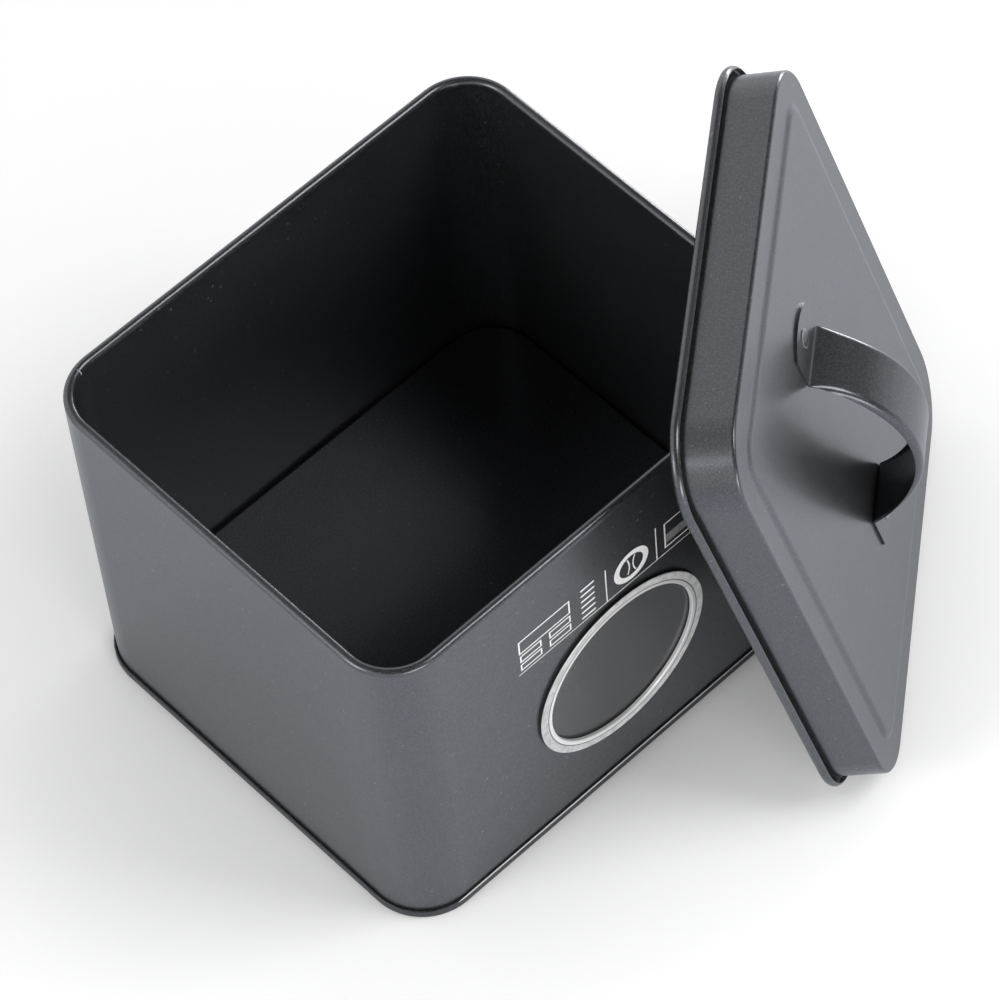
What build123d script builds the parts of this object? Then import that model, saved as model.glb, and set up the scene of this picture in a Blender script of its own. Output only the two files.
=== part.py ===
"""Laundry powder tin: a rectangular sheet-metal tin with a round window, its lid leaning on one corner.

Millimetres, +Z up. The origin is the centre of the tin's underside, and the window faces -Y.
"""
import os
from math import acos, asin, atan2, cos, degrees, radians, sin, sqrt

from build123d import *

# Tin
tin_length = 190.0
tin_depth = 165.0
tin_height = 150.0
corner_radius = 20.0
sheet = 0.3

# Rolled rim
rim_bead_radius = 1.8
rim_curl_turn = 300.0

# Bottom double seam
seam_height = 3.4
seam_gap = 0.05
hook_relief = 0.35
hook_cut = 0.2
base_rise = 7.8
base_shoulder_radius = 1.5
base_land = 4.0

# Window in the front wall
window_height = 63.0
window_bore_radius = 31.8
window_hole_margin = 0.5
ring_width = 5.0
ring_stand = 1.3
ring_chamfer = 0.3
pane_thickness = 1.0
pane_lap = 2.7

# Lid
lid_fit = 0.7
skirt_height = 20.5
lid_edge_radius = 1.2
curl_radius = 1.8
curl_turn = 245.0
panel_border = 11.1
panel_slope = 2.4
panel_rise = 1.0
panel_bend_radius = 3.5
panel_land = 2.0

# Handle
strap_width = 23.8
strap_sheet = 0.8
strap_shoulder_radius = 2.5
arch_half_span = 39.5
arch_rise = 25.6
foot_length = 16.5
foot_crown = 3.5
foot_bend_radius = 1.2
foot_gap = 0.05
flat_edge_turn = 10.0
full_edge_turn = 90.0
edge_fade_turn = 38.0
fade_sections = 7

# Rivets of the handle
rivet_inset = 9.5
rivet_head_radius = 3.3
rivet_head_height = 0.5
rivet_head_crown = 0.15
rivet_shank_radius = 1.9
rivet_tail_radius = 2.5
rivet_tail_height = 0.9
rivet_tail_chamfer = 0.2
rivet_hole_gap = 0.05

# How the lid leans: its turn about the vertical, its lean from upright, its shift along the corner
lid_turn = 39.0
lid_lean = 15.6
lid_shift = 2.0
lean_gap = 0.15

# One overrun for all cuts
overrun = 2.0


def edge_loop(place, length, depth, radius):
    """Closed path round a rectangle with rounded corners, counter-clockwise on its plane."""
    with BuildLine(place) as loop:
        FilletPolyline(
            (-length / 2, -depth / 2),
            (length / 2, -depth / 2),
            (length / 2, depth / 2),
            (-length / 2, depth / 2),
            radius=radius,
            close=True,
        )
    return loop.wire()


def edge_section(loop, up):
    """Plane across the start of a loop: x points outward from the loop, y points up."""
    along = loop % 0
    return Plane(origin=loop @ 0, x_dir=along.cross(up), z_dir=-along)


# Sheet metal is drawn by its middle line, half a sheet inside the outer face
half_sheet = sheet / 2
tin_loop = edge_loop(Plane.XY, tin_length, tin_depth, corner_radius)
tin_section = edge_section(tin_loop, Vector(0, 0, 1))

# Middle lines of the seam's five layers, outward from the base panel's wall
layer_step = sheet + seam_gap
body_line = -half_sheet
base_wall_line = body_line - layer_step
cover_hook_line = body_line + layer_step
body_hook_line = cover_hook_line + layer_step
seam_line = body_hook_line + layer_step

# Body: a rolled rim above, a hook below, a round hole in front
rim_turn_radius = rim_bead_radius - half_sheet
body_hook_foot = sheet + seam_gap + half_sheet

with BuildPart() as tin_body:
    with BuildSketch(tin_section):
        with BuildLine():
            wall = Polyline(
                (body_hook_line, seam_height - sheet - hook_relief),
                (body_hook_line, body_hook_foot + hook_cut),
                (body_hook_line - hook_cut, body_hook_foot),
                (body_line + hook_cut, body_hook_foot),
                (body_line, body_hook_foot + hook_cut),
                (body_line, tin_height - rim_bead_radius),
            )
            JernArc(wall @ 1, wall % 1, rim_turn_radius, rim_curl_turn)
        trace(line_width=sheet)
    sweep(path=tin_loop)
    window_plane = Plane(origin=(0, -tin_depth / 2, window_height), x_dir=(1, 0, 0), z_dir=(0, -1, 0))
    with BuildSketch(window_plane.offset(overrun)):
        Circle(window_bore_radius + window_hole_margin)
    extrude(amount=-(2 * overrun + sheet), mode=Mode.SUBTRACT)

tin_body.part.label = "tin_body"

# Base: a panel whose edge wraps the body's hook
with BuildPart() as base_panel:
    with BuildSketch(tin_section):
        with BuildLine():
            cover_hook = Line(
                (cover_hook_line, 2 * sheet + seam_gap + hook_relief),
                (cover_hook_line, seam_height - half_sheet - layer_step),
            )
            cover_turn = JernArc(cover_hook @ 1, cover_hook % 1, layer_step, -180)
            seam_foot = FilletPolyline(
                cover_turn @ 1,
                (seam_line, half_sheet),
                (base_wall_line, half_sheet),
                radius=sheet + half_sheet,
            )
            FilletPolyline(
                seam_foot @ 1,
                (base_wall_line, base_rise - half_sheet),
                (-base_land, base_rise - half_sheet),
                radius=base_shoulder_radius - half_sheet,
            )
        trace(line_width=sheet)
    sweep(path=tin_loop)
    with BuildSketch(Plane.XY.offset(base_rise)):
        RectangleRounded(
            tin_length - 2 * base_land,
            tin_depth - 2 * base_land,
            corner_radius - base_land,
        )
    extrude(amount=-sheet)

base_panel.part.label = "base_panel"

# Window: a ring on the wall's outer face, a clear pane on its inner face
with BuildPart() as window_ring:
    with BuildSketch(window_plane):
        Circle(window_bore_radius + ring_width)
        Circle(window_bore_radius, mode=Mode.SUBTRACT)
    extrude(amount=ring_stand)
    ring_face = window_ring.faces().sort_by(Axis.Y)[0]
    chamfer(ring_face.edges(), length=ring_chamfer)

window_ring.part.label = "window_ring"

with BuildPart() as window_pane:
    with BuildSketch(window_plane.offset(-sheet)):
        Circle(window_bore_radius + window_hole_margin + pane_lap)
    extrude(amount=-pane_thickness)

window_pane.part.label = "window_pane"

# Lid size: it fits over the tin, its long side along local Y
lid_length = tin_length + 2 * (lid_fit + sheet)
lid_depth = tin_depth + 2 * (lid_fit + sheet)
lid_corner_radius = corner_radius + lid_fit + sheet
curl_centre_out = curl_radius - sheet

# Lid place: the rim's corner meets the upper rivet's tail, and the curl stands on the floor
lean = radians(lid_lean)
turn = radians(lid_turn)
away = Vector(sin(turn), -cos(turn), 0)
across = Vector(cos(turn), sin(turn), 0)
lid_normal = away * cos(lean) + Vector(0, 0, 1) * sin(lean)
rim_corner = Vector(
    tin_length / 2 - corner_radius,
    corner_radius - tin_depth / 2,
    tin_height - rim_bead_radius,
)
rim_contact = rim_corner + away * (corner_radius - rim_bead_radius) + lid_normal * rim_bead_radius
rivet_tail_depth = sheet + rivet_tail_height - panel_rise
lid_reach = rim_contact.dot(lid_normal) + lean_gap + rivet_tail_depth
lid_centre_height = (
    (lid_length / 2 + curl_centre_out) * cos(lean)
    + (skirt_height - curl_radius) * sin(lean)
    + curl_radius
)
lid_centre = (
    across * (rim_contact.dot(across) + lid_shift)
    + away * ((lid_reach - lid_centre_height * sin(lean)) / cos(lean))
    + Vector(0, 0, 1) * lid_centre_height
)
lid_plane = Plane(origin=lid_centre, x_dir=across, z_dir=lid_normal)
side_plane = Plane(origin=lid_centre, x_dir=lid_plane.y_dir, z_dir=lid_plane.x_dir)
lid_loop = edge_loop(lid_plane, lid_depth, lid_length, lid_corner_radius)

# Lid: a flat border and a raised panel, a skirt, an open curl round its free edge
slope_end = panel_border + panel_slope
rivet_offset = arch_half_span + rivet_inset
with BuildPart() as lid:
    with BuildSketch(edge_section(lid_loop, lid_normal)):
        with BuildLine():
            skirt = FilletPolyline(
                (-slope_end - panel_land, panel_rise - half_sheet),
                (-slope_end, panel_rise - half_sheet),
                (-panel_border, -half_sheet),
                (-half_sheet, -half_sheet),
                (-half_sheet, curl_radius - skirt_height),
                radius=[panel_bend_radius, panel_bend_radius, lid_edge_radius - half_sheet],
            )
            JernArc(skirt @ 1, skirt % 1, curl_radius - half_sheet, curl_turn)
        trace(line_width=sheet)
    sweep(path=lid_loop)
    with BuildSketch(lid_plane.offset(panel_rise)):
        RectangleRounded(
            lid_depth - 2 * (slope_end + panel_land),
            lid_length - 2 * (slope_end + panel_land),
            lid_corner_radius - slope_end - panel_land,
        )
    extrude(amount=-sheet)
    with BuildSketch(lid_plane.offset(panel_rise + overrun)):
        with Locations((0, rivet_offset), (0, -rivet_offset)):
            Circle(rivet_shank_radius + rivet_hole_gap)
    extrude(amount=-(2 * overrun + sheet), mode=Mode.SUBTRACT)

lid.part.label = "lid"

# Handle: an arch whose edges turn down, with flat feet on the raised panel
foot_seat = panel_rise + foot_gap
foot_top = foot_seat + strap_sheet
arch_top = foot_top + arch_rise
arch_radius = (arch_half_span**2 + arch_rise**2) / (2 * arch_rise)
arch_centre_height = arch_top - arch_radius

# The bend into each foot touches the arch and the foot's top
bend_height = foot_top + foot_bend_radius
bend_reach = sqrt((arch_radius + foot_bend_radius) ** 2 - (bend_height - arch_centre_height) ** 2)
arch_half_turn = degrees(atan2(bend_reach, bend_height - arch_centre_height))
foot_end = arch_half_span + foot_length
foot_end_radius = ((strap_width / 2) ** 2 + foot_crown**2) / (2 * foot_crown)


def strap_plane(swing):
    """Plane across the arch at a swing from its top: x across the strap, y away from the arch's centre."""
    outward = Vector(sin(radians(swing)), cos(radians(swing)))
    origin = side_plane.from_local_coords(Vector(0, arch_centre_height) + outward * arch_radius)
    normal = lid_plane.y_dir * outward.X + lid_plane.z_dir * outward.Y
    return Plane(origin=origin, x_dir=lid_plane.x_dir, z_dir=lid_plane.x_dir.cross(normal))


def edge_turn(share):
    """How far the strap's edges turn down, from hardly at all by a foot (0) to all the way (1)."""
    least = cos(radians(flat_edge_turn))
    most = cos(radians(full_edge_turn))
    return degrees(acos(least - (least - most) * sin(radians(90) * share)))


def strap_outline(turned):
    """Cut across the strap: a flat middle, and two shoulders of one radius turned down by an angle."""
    flat = strap_width / 2 - strap_shoulder_radius * sin(radians(turned))
    with BuildSketch() as outline:
        with BuildLine():
            top = Line((-flat, 0), (flat, 0))
            bottom = Line((-flat, -strap_sheet), (flat, -strap_sheet))
            outer = JernArc(top @ 1, top % 1, strap_shoulder_radius, -turned)
            inner = JernArc(bottom @ 1, bottom % 1, strap_shoulder_radius - strap_sheet, -turned)
            edge = Line(outer @ 1, inner @ 1)
            mirror((outer, inner, edge), about=Plane.YZ)
        make_face()
    return outline.sketch


with BuildPart() as handle:
    full_half_turn = arch_half_turn - edge_fade_turn
    with BuildSketch(strap_plane(full_half_turn)):
        add(strap_outline(full_edge_turn))
    arch_centre = side_plane.from_local_coords((0, arch_centre_height))
    revolve(axis=Axis(arch_centre, lid_plane.x_dir), revolution_arc=2 * full_half_turn)
    for side in (-1, 1):
        for step in range(fade_sections):
            share = step / (fade_sections - 1)
            with BuildSketch(strap_plane(side * (arch_half_turn - share * edge_fade_turn))):
                add(strap_outline(edge_turn(share)))
        loft()
        bend_centre = side_plane.from_local_coords((side * bend_reach, bend_height))
        with BuildSketch(strap_plane(side * arch_half_turn)):
            add(strap_outline(flat_edge_turn))
        revolve(axis=Axis(bend_centre, lid_plane.x_dir * side), revolution_arc=arch_half_turn)
        foot_start = side_plane.from_local_coords((side * bend_reach, foot_top))
        with BuildSketch(Plane(origin=foot_start, x_dir=lid_plane.x_dir, z_dir=-lid_plane.y_dir)):
            add(strap_outline(flat_edge_turn))
        extrude(amount=side * (bend_reach - foot_end))
        with BuildSketch(lid_plane.offset(foot_top + overrun)):
            with Locations((0, side * (foot_end + (overrun - foot_crown) / 2))):
                Rectangle(strap_width + 2 * overrun, foot_crown + overrun)
            with Locations((0, side * (foot_end - foot_end_radius))):
                Circle(foot_end_radius, mode=Mode.SUBTRACT)
            with Locations((0, side * rivet_offset)):
                Circle(rivet_shank_radius + rivet_hole_gap)
        extrude(amount=-(2 * overrun + strap_sheet), mode=Mode.SUBTRACT)

handle.part.label = "handle"


def handle_rivet(side, name):
    """Rivet through one foot and the lid's panel, with a low crowned head and a flat tail."""
    place = Plane(
        origin=lid_plane.from_local_coords((0, side * rivet_offset, 0)),
        x_dir=lid_plane.x_dir,
        z_dir=-lid_plane.y_dir,
    )
    tail_top = panel_rise - sheet
    tail_end = tail_top - rivet_tail_height
    crown_radius = (rivet_head_radius**2 + rivet_head_crown**2) / (2 * rivet_head_crown)
    crown_turn = degrees(asin(rivet_head_radius / crown_radius))
    with BuildPart() as rivet:
        with BuildSketch(place):
            with BuildLine():
                crown = JernArc((0, foot_top + rivet_head_height), Vector(1, 0), crown_radius, -crown_turn)
                Polyline(
                    crown @ 1,
                    (rivet_head_radius, foot_top),
                    (rivet_shank_radius, foot_top),
                    (rivet_shank_radius, tail_top),
                    (rivet_tail_radius, tail_top),
                    (rivet_tail_radius, tail_end + rivet_tail_chamfer),
                    (rivet_tail_radius - rivet_tail_chamfer, tail_end),
                    (0, tail_end),
                    crown @ 0,
                )
            make_face()
        revolve(axis=Axis(place.origin, place.y_dir))
    rivet.part.label = name
    return rivet.part


upper_rivet = handle_rivet(1, "handle_rivet_upper")
lower_rivet = handle_rivet(-1, "handle_rivet_lower")

os.makedirs("parts", exist_ok=True)
for piece in (
    tin_body.part,
    base_panel.part,
    window_ring.part,
    window_pane.part,
    lid.part,
    handle.part,
    upper_rivet,
    lower_rivet,
):
    export_step(piece, f"parts/{piece.label}.step")
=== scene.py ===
from math import cos, radians, sin

import bmesh
import bpy
from mathutils import Matrix, Vector


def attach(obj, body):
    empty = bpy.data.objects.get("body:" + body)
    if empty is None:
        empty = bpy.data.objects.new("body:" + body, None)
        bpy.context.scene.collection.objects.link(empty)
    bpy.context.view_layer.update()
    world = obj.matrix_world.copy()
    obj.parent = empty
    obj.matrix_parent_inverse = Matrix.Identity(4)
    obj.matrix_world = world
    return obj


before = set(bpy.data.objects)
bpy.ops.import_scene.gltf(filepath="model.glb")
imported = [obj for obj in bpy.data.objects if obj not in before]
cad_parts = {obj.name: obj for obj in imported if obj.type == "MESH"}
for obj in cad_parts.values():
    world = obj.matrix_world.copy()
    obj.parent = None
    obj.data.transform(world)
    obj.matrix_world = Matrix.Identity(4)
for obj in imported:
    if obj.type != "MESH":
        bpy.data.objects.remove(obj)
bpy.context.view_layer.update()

MM = 0.001

# Places on the tin, which stands at the origin with its window facing -Y
TIN_FRONT = -82.5 * MM
RIM_HEIGHT = 150.0 * MM
RIM_DEPTH = 4.0 * MM
SEAM_SHOULDER_HEIGHT = 3.08 * MM
SEAM_SHOULDER_FRONT = -83.08 * MM
WINDOW_HEIGHT = 63.0 * MM
RING_GROOVE = 33.6 * MM
RING_EDGE = 36.8 * MM

# The rivets' middles, the way both point, and where the edge of a head begins
RIVETS = (Vector((90.58, -78.56, 148.43)) * MM, Vector((107.17, -99.04, 54.04)) * MM)
RIVET_AIM = Vector((0.6061, -0.7485, 0.2689))
RIVET_EDGE = 2.6 * MM

# The joint in the rim: the centre of the left rear bend, the way out from it, and how far it lies
CORNER_ACROSS = -75.0 * MM
CORNER_BACK = 62.5 * MM
JOINT_TURN = radians(108)
JOINT_REACH = 15 * MM

# Sizes of the patterns in the finishes
COAT_GRAIN_SIZE = 0.6 * MM
COAT_CLOUD_SIZE = 24 * MM
COAT_DUST_SIZE = 1.6 * MM
COAT_GRAIN_DEPTH = 0.022 * MM
RING_MOTTLE_SIZE = 2.6 * MM
RING_GROOVE_DEPTH = 0.02 * MM
PANE_SMEAR_SIZE = 14 * MM
INK_GRAIN_SIZE = 0.45 * MM
INK_GRAIN_DEPTH = 0.01 * MM

# Colours
COAT_DARK = (0.008, 0.0087, 0.0093, 1)
COAT_CLOUDED = (0.012, 0.0127, 0.0133, 1)
COAT_GRAIN = (0.055, 0.057, 0.06, 1)
COAT_SHINE = (0.87, 0.91, 1.0, 1)
CLEAR_PLASTIC = (0.93, 0.95, 0.95, 1)
FLOOR_IN_GLOSS = (0.81, 0.84, 0.89, 1)


def grey(level):
    return (level, level, level, 1)


class Value:
    """One number or vector on its way through the nodes, with ordinary arithmetic."""

    def __init__(self, nodes, socket):
        self.nodes = nodes
        self.socket = socket

    def sum_of(self, operation, first, second):
        return self.nodes.node("Math", {"operation": operation}, first, second)

    def __add__(self, other):
        return self.sum_of("ADD", self, other)

    def __radd__(self, other):
        return self.sum_of("ADD", other, self)

    def __sub__(self, other):
        return self.sum_of("SUBTRACT", self, other)

    def __rsub__(self, other):
        return self.sum_of("SUBTRACT", other, self)

    def __mul__(self, other):
        return self.sum_of("MULTIPLY", self, other)

    def __rmul__(self, other):
        return self.sum_of("MULTIPLY", other, self)

    def __pow__(self, power):
        return self.sum_of("POWER", self, power)

    def __abs__(self):
        return self.nodes.node("Math", {"operation": "ABSOLUTE"}, self)


class Nodes:
    """The nodes of a material or a world, with one method for every kind of node."""

    def __init__(self, owner):
        owner.use_nodes = True
        self.tree = owner.node_tree
        self.tree.nodes.clear()

    def node(self, kind, settings, *values, output=0, **named):
        made = self.tree.nodes.new("ShaderNode" + kind)
        for setting, value in settings.items():
            if setting == "stops":
                self.set_stops(made.color_ramp, value)
            else:
                setattr(made, setting, value)
        for place, value in enumerate(values):
            self.feed(made.inputs[place], value)
        for name, value in named.items():
            self.feed(made.inputs[name.replace("_", " ")], value)
        return Value(self, made.outputs[output]) if made.outputs else None

    def feed(self, socket, value):
        if isinstance(value, Value):
            self.tree.links.new(value.socket, socket)
        elif value is not None:
            socket.default_value = value

    def set_stops(self, ramp, stops):
        while len(ramp.elements) < len(stops):
            ramp.elements.new(1)
        for element, (place, level) in zip(ramp.elements, stops):
            element.position = place
            element.color = grey(level)

    def blend(self, share, first, second):
        """A colour mix, whose colour inputs come after five that colours leave unused."""
        unused = [None] * 5
        return self.node("Mix", {"data_type": "RGBA"}, share, *unused, first, second, output=2)

    def between(self, value, low, high, low_level=0, high_level=1):
        return self.node(
            "MapRange",
            {},
            Value=value,
            From_Min=low,
            From_Max=high,
            To_Min=low_level,
            To_Max=high_level,
        )

    def is_ray(self, kind):
        return self.node("LightPath", {}, output=f"Is {kind} Ray")


class Finish(Nodes):
    """A material whose patterns keep their places on the piece."""

    def __init__(self, name):
        self.material = bpy.data.materials.new(name)
        super().__init__(self.material)

    def places(self):
        return self.node("TexCoord", {}, output="Object")

    def along(self, axis):
        return self.node("SeparateXYZ", {}, self.places(), output=axis)

    def noise(self, size, detail=2):
        return self.node("TexNoise", {}, Vector=self.places(), Scale=1 / size, Detail=detail)

    def bumps(self, height, depth, strength):
        return self.node(
            "Bump", {}, Height=height, Distance=depth, Strength=strength, output="Normal"
        )

    def surface(self, shader):
        self.node("OutputMaterial", {}, Surface=shader)
        return self.material


# Finishes

def powder_coat(name, painted_highlight_mask=None, painted_highlight_level=0.22, index=1.88, clear=0.22):
    """Dark satin powder coat under a thin clear layer: fine grain, faint clouds, a little dust, a
    pale painted highlight on the rim's joint line, and, where a mask is given, a pale painted
    highlight on the edges it picks out.
    """
    coat = Finish(name)
    grain = coat.noise(COAT_GRAIN_SIZE)
    clouds = coat.noise(COAT_CLOUD_SIZE)
    dust = coat.noise(COAT_DUST_SIZE, detail=0)
    shade = coat.blend(coat.between(clouds, 0.3, 0.7), COAT_DARK, COAT_CLOUDED)
    shade = coat.blend(coat.between(grain, 0.4, 0.75), shade, COAT_GRAIN)
    shade = coat.blend(coat.between(dust, 0.83, 0.85, 0, 0.35), shade, grey(0.25))
    if painted_highlight_mask:
        # Painted highlight: the edges that the mask picks out are painted pale
        shade = coat.blend(painted_highlight_mask(coat) * 0.7, shade, grey(painted_highlight_level))
    joint = rim_joint(coat)
    # The rim's joint line is real; its pale colour is a painted highlight
    shade = coat.blend(joint * coat.between(dust, 0.45, 0.5), shade, grey(0.5))
    shader = coat.node(
        "BsdfPrincipled",
        {},
        Base_Color=shade,
        Roughness=coat.between(clouds, 0.2, 0.8, 0.27, 0.31) + joint * 0.4,
        IOR=index,
        Specular_Tint=COAT_SHINE,
        Coat_Weight=clear,
        Coat_Roughness=0.12,
        Normal=coat.bumps(grain - joint * 8, COAT_GRAIN_DEPTH, 0.7),
    )
    return coat.surface(shader)


def rim_joint(coat):
    """A fine line across the rolled rim at the left rear corner, where the sheet's ends meet."""
    across = coat.along("X") - CORNER_ACROSS
    back = coat.along("Y") - CORNER_BACK
    aside = across * sin(JOINT_TURN) - back * cos(JOINT_TURN)
    outward = across * cos(JOINT_TURN) + back * sin(JOINT_TURN)
    line = coat.between(abs(aside), 0.22 * MM, 0.14 * MM)
    rim_foot = RIM_HEIGHT - RIM_DEPTH
    rim = coat.between(coat.along("Z"), rim_foot - 0.2 * MM, rim_foot)
    return line * rim * coat.between(outward, JOINT_REACH, JOINT_REACH + 0.5 * MM)


def rivet_painted_highlight(coat):
    """The edge of each rivet's head, painted pale as a highlight."""
    nearest = None
    for middle in RIVETS:
        offset = coat.node("VectorMath", {"operation": "SUBTRACT"}, coat.places(), middle)
        aside = coat.node("VectorMath", {"operation": "CROSS_PRODUCT"}, offset, RIVET_AIM)
        reach = coat.node("VectorMath", {"operation": "LENGTH"}, aside, output="Value")
        nearest = coat.node("Math", {"operation": "MINIMUM"}, nearest, reach) if nearest else reach
    return coat.between(nearest, RIVET_EDGE, RIVET_EDGE + 0.35 * MM)


def seam_painted_highlight(coat):
    """The front shoulder of the base's seam, painted pale as a highlight."""
    top = coat.between(coat.along("Z"), SEAM_SHOULDER_HEIGHT, SEAM_SHOULDER_HEIGHT + 0.1 * MM)
    front = coat.between(coat.along("Y"), SEAM_SHOULDER_FRONT, SEAM_SHOULDER_FRONT - 0.08 * MM)
    return top * front


def ring_metal():
    """Satin metal, faintly mottled and painted lighter towards the right against the lid's shade,
    with a fine groove painted dark as shade round a lip painted pale as a highlight, and a painted
    shadow at its outer edge.
    """
    metal = Finish("ring_metal")
    mottle = metal.noise(RING_MOTTLE_SIZE, detail=4)
    across = metal.along("X")
    up = metal.along("Z") - WINDOW_HEIGHT
    reach = (across * across + up * up) ** 0.5
    face = metal.between(abs(reach - RING_GROOVE), 0.08 * MM, 0.3 * MM)
    lip = metal.between(reach, RING_GROOVE + 0.5 * MM, RING_GROOVE + 0.1 * MM)
    # Painted shadow: a thin band at the outer edge is painted near black and not metallic, as the
    # dark gap round the ring
    outer_painted_shadow = metal.between(reach, RING_EDGE - 0.12 * MM, RING_EDGE - 0.02 * MM)
    mottled = metal.between(mottle, 0.35, 0.65)
    mottle_painted_darker = metal.blend(mottled, grey(0.5), grey(0.72))
    mottle_painted_lighter = metal.blend(mottled, grey(0.74), grey(0.98))
    # Painted light: the mottled metal is painted lighter towards the right, to undo the lid's
    # shade there
    shade = metal.blend(metal.between(across, -30 * MM, 30 * MM), mottle_painted_darker, mottle_painted_lighter)
    # Painted highlight: the lip inside the groove is painted pale
    shade = metal.blend(lip, shade, grey(0.88))
    # Painted shade: the fine groove is painted dark
    shade = metal.blend(face, grey(0.1), shade)
    shader = metal.node(
        "BsdfPrincipled",
        {},
        Base_Color=metal.blend(outer_painted_shadow, shade, grey(0.012)),
        Metallic=0.2 - outer_painted_shadow * 0.2,
        Roughness=metal.between(mottle, 0.3, 0.7, 0.3, 0.42),
        Normal=metal.bumps(face * 8 + mottle, RING_GROOVE_DEPTH, 0.6),
    )
    return metal.surface(shader)


def clear_pane():
    """Clear plastic, see-through and glossy, with faint smears."""
    pane = Finish("clear_pane")
    smears = pane.noise(PANE_SMEAR_SIZE)
    shader = pane.node(
        "BsdfPrincipled",
        {},
        Base_Color=CLEAR_PLASTIC,
        Roughness=pane.between(smears, 0.2, 0.8, 0.03, 0.06),
        IOR=1.5,
        Transmission_Weight=1.0,
    )
    return pane.surface(shader)


def print_ink(name, thin, full):
    """Printed ink, a little thin where the grain of the coat stands through."""
    ink = Finish(name)
    wear = ink.noise(INK_GRAIN_SIZE)
    shader = ink.node(
        "BsdfPrincipled",
        {},
        Base_Color=ink.blend(ink.between(wear, 0.3, 0.7), grey(thin), grey(full)),
        Roughness=0.45,
        Normal=ink.bumps(wear, INK_GRAIN_DEPTH, 0.4),
    )
    return ink.surface(shader)


def dress(names, material):
    for name in names:
        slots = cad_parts[name].data.materials
        slots.clear()
        slots.append(material)


# Print on the front: flat shapes that lie just proud of the coat. Their sizes are in
# millimetres, across from the middle of the tin and up from the ground

PRINT_FACE = TIN_FRONT - 0.02 * MM
PRINT_TOP = 121.0
PRINT_FOOT = 102.85
LINE = 0.65
UPRIGHTS = (-3.95, 18.35)
UPRIGHT_WIDTH = 0.5
DRAWER_ROWS = ((108.9, 112.6), (104.2, 107.8))
DRAWER_COLUMNS = ((-41.7, -32.3), (-29.0, -19.5))
BAR_COUNT = 6
BAR_STEP = 3.16
KNOB_LINE = 0.55
KNOB_REACH = 4.7


def deselect():
    bpy.ops.object.select_all(action="DESELECT")


def start_print(name):
    deselect()
    bpy.ops.object.add(type="MESH")
    piece = bpy.context.object
    piece.name = name
    bpy.ops.object.mode_set(mode="EDIT")
    return piece


def finish_print(piece, material):
    bpy.ops.object.mode_set(mode="OBJECT")
    piece.data.materials.append(material)
    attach(piece, "root")


def front_place(across, up):
    return Vector((across * MM, PRINT_FACE, up * MM))


def field(left, right, low, high):
    """A filled rectangle."""
    middle = front_place((left + right) / 2, (low + high) / 2)
    bpy.ops.mesh.primitive_plane_add(size=1, location=middle, rotation=(radians(90), 0, 0))
    bpy.ops.transform.resize(
        value=((right - left) * MM, 1, (high - low) * MM), center_override=middle
    )


def frame_line(left, right, low, high):
    """A rectangle drawn with one line."""
    field(left, right, low, high)
    bpy.ops.mesh.inset(thickness=LINE * MM)
    bpy.ops.mesh.delete(type="ONLY_FACE")


def circle_line(across, up, outer, inner):
    """A circle drawn with one line."""
    bpy.ops.mesh.primitive_circle_add(
        vertices=96,
        radius=outer * MM,
        fill_type="NGON",
        location=front_place(across, up),
        rotation=(radians(90), 0, 0),
    )
    bpy.ops.mesh.inset(thickness=(outer - inner) * MM)
    bpy.ops.mesh.delete(type="ONLY_FACE")


def piece_mesh(piece):
    mesh = bmesh.from_edit_mesh(piece.data)
    mesh.verts.ensure_lookup_table()
    return mesh


def curved_line(piece, across, up, radius, side):
    """The part of a circle that lies within the knob, on the circle's left or right side."""
    known = len(piece_mesh(piece).verts)
    circle_line(across, up, radius + KNOB_LINE / 2, radius - KNOB_LINE / 2)
    mesh = piece_mesh(piece)
    for place, point in enumerate(mesh.verts):
        level = abs(point.co.z / MM - up) <= KNOB_REACH
        inside = level and (point.co.x / MM - across) * side > 0
        point.select = place >= known and not inside
    mesh.select_flush(True)
    bmesh.update_edit_mesh(piece.data)
    bpy.ops.mesh.delete(type="VERT")


def round_bar(left, right, low, high):
    """A short bar with rounded ends."""
    field(left, right, low, high)
    bpy.ops.mesh.bevel(offset=(high - low) * 0.49 * MM, segments=4, affect="VERTICES")


def front_print():
    """A row of plain panel marks: a drawer, a stack of bars, a knob and a display."""
    lines = start_print("front_print")
    field(-42.7, 42.7, 102.4, 102.8)
    for left in UPRIGHTS:
        field(left, left + UPRIGHT_WIDTH, PRINT_FOOT, PRINT_TOP)
    frame_line(-42.0, -19.5, 113.8, PRINT_TOP)
    for low, high in DRAWER_ROWS:
        for left, right in DRAWER_COLUMNS:
            frame_line(left, right, low, high)
    round_bar(-14.8, -8.6, 104.2, 105.2)
    for step in range(BAR_COUNT - 1):
        bpy.ops.mesh.duplicate()
        bpy.ops.transform.translate(value=(0, 0, BAR_STEP * MM))
    circle_line(7.45, 111.9, 7.65, 5.25)
    curved_line(lines, -4.2, 112.1, 10.8, 1)
    curved_line(lines, 18.2, 112.1, 9.9, -1)
    frame_line(22.2, 42.0, 105.3, 119.2)
    finish_print(lines, print_ink("print_ink", 0.88, 1.0))

    band = start_print("front_print_faint")
    field(22.85, 41.35, 107.9, 112.5)
    finish_print(band, print_ink("band_ink", 0.2, 0.28))


# Stage

FLOOR_WIDTH = 6
LAMP_AIM = Vector((0, 0, 0.06))

# Light of the room by height, for matt surfaces, and by height and direction, for gloss
SOFT_LIGHT = [(0.0, 1.0), (0.55, 0.95), (0.7, 0.45), (0.8, 0.06), (1.0, 0.04)]
ROOM_IN_GLOSS = [(0.0, 1.0), (0.42, 0.97), (0.54, 0.62), (0.64, 0.36), (0.74, 0.12), (1.0, 0.05)]

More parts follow.
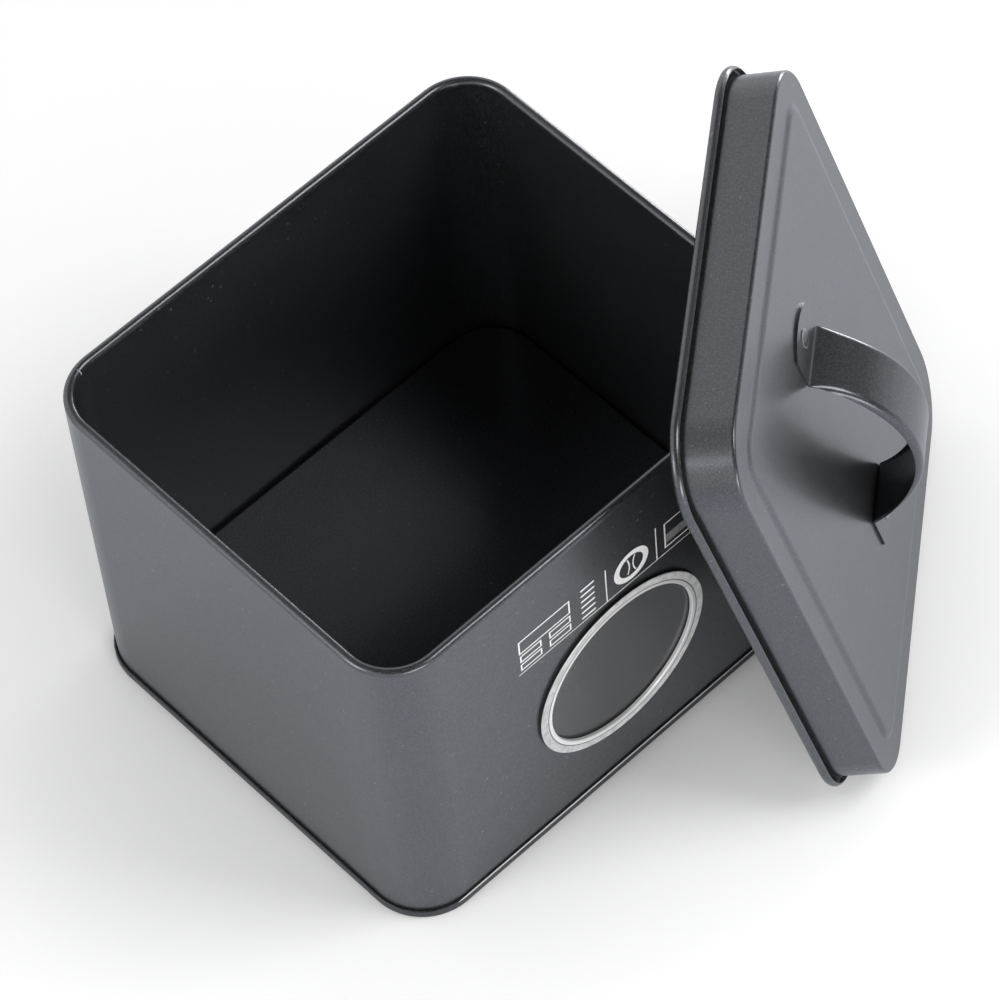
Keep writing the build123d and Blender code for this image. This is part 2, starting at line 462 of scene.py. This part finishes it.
# Camera at the photograph's view: turn and height seen from the tin, a slight roll, a long lens
VIEW_TURN = radians(38.74)
VIEW_HEIGHT = radians(56.0)
VIEW_ROLL = radians(-5.9)
VIEW_DISTANCE = 1742.2 * MM
VIEW_TARGET = Vector((16.4, -8.3, 62.3)) * MM
LENS = 188.1


def studio_floor():
    """White paper floor, bright enough to show white to the camera, and shaded round the tin."""
    floor = Finish("studio_floor")
    camera_ray = floor.is_ray("Camera")
    shine = floor.is_ray("Glossy") + floor.is_ray("Transmission")
    contact = floor.node("AmbientOcclusion", {"samples": 6}, Distance=6 * MM, output="AO")
    around = floor.node("AmbientOcclusion", {"samples": 6}, Distance=90 * MM, output="AO")
    white = floor.blend(camera_ray, floor.blend(shine, grey(0.85), FLOOR_IN_GLOSS), grey(1.03))
    white = floor.blend(floor.between(around, 0.4, 1, 0.24, 0), white, grey(0.0))
    paper = floor.node("BsdfDiffuse", {}, Color=white)
    lift = (camera_ray * 0.16 + shine * 0.08) * contact
    glow = floor.node("Emission", {}, Color=grey(1.0), Strength=lift)
    return floor.surface(floor.node("AddShader", {}, paper, glow))


def room_light():
    """White for the camera, softly shaded light for all else."""
    world = bpy.data.worlds.new("studio")
    bpy.context.scene.world = world
    sky = Nodes(world)
    toward = sky.node("TexCoord", {}, output="Generated")
    side, back, height = (sky.node("SeparateXYZ", {}, toward, output=axis) for axis in "XYZ")
    soft = sky.node("ValToRGB", {"stops": SOFT_LIGHT}, height)
    room = sky.node("ValToRGB", {"stops": ROOM_IN_GLOSS}, height - back * 0.4 + side * 0.3)
    shaded = sky.blend(sky.is_ray("Glossy"), soft, room)
    white = sky.node("Background", {}, Color=grey(1.0), Strength=1.0)
    light = sky.node("Background", {}, Color=shaded, Strength=1.0)
    seen = sky.node("MixShader", {}, sky.is_ray("Camera"), light, white)
    sky.node("OutputWorld", {}, Surface=seen)


def lamp(name, place, size, power):
    """A soft rectangular lamp that faces the tin."""
    data = bpy.data.lights.new(name, "AREA")
    data.shape = "RECTANGLE"
    data.size, data.size_y = size
    data.energy = power
    made = bpy.data.objects.new(name, data)
    bpy.context.collection.objects.link(made)
    made.location = place
    made.rotation_euler = (LAMP_AIM - Vector(place)).to_track_quat("-Z", "Y").to_euler()


def studio():
    deselect()
    bpy.ops.mesh.primitive_plane_add(size=FLOOR_WIDTH)
    floor = bpy.context.object
    floor.name = "floor"
    floor.data.materials.append(studio_floor())
    room_light()
    lamp("left_lamp", place=(-1.59, 0.28, 1.0), size=(0.75, 0.65), power=8)
    lamp("right_lamp", place=(0.78, -0.82, 1.52), size=(0.8, 0.7), power=12)
    lamp("front_lamp", place=(-0.35, -1.75, 0.6), size=(1.0, 0.5), power=9)
    lamp("low_lamp", place=(1.16, 0.34, 0.16), size=(0.5, 0.2), power=5)


def camera():
    flat = cos(VIEW_HEIGHT)
    back = Vector((-sin(VIEW_TURN) * flat, -cos(VIEW_TURN) * flat, sin(VIEW_HEIGHT)))
    level = (-back).cross(Vector((0, 0, 1))).normalized()
    upright = level.cross(-back)
    right = level * cos(VIEW_ROLL) + upright * sin(VIEW_ROLL)
    up = upright * cos(VIEW_ROLL) - level * sin(VIEW_ROLL)
    data = bpy.data.cameras.new("camera")
    data.lens = LENS
    data.sensor_width = 36
    data.clip_end = 20
    view = bpy.data.objects.new("camera", data)
    bpy.context.collection.objects.link(view)
    place = Matrix.Translation(VIEW_TARGET + back * VIEW_DISTANCE)
    view.matrix_world = place @ Matrix((right, up, back)).transposed().to_4x4()
    bpy.context.scene.camera = view


dress(["tin_body", "lid", "handle"], powder_coat("powder_coat"))
# The base carries a pale painted highlight on the front shoulder of its seam
dress(["base_panel"], powder_coat("base_coat", seam_painted_highlight, painted_highlight_level=0.9, index=1.5, clear=0.1))
# The rivets carry a pale painted highlight round the edge of each head
dress(["handle_rivet_upper", "handle_rivet_lower"], powder_coat("rivet_coat", rivet_painted_highlight))
dress(["window_ring"], ring_metal())
dress(["window_pane"], clear_pane())
front_print()
studio()
camera()
bpy.context.scene.view_settings.view_transform = "Standard"
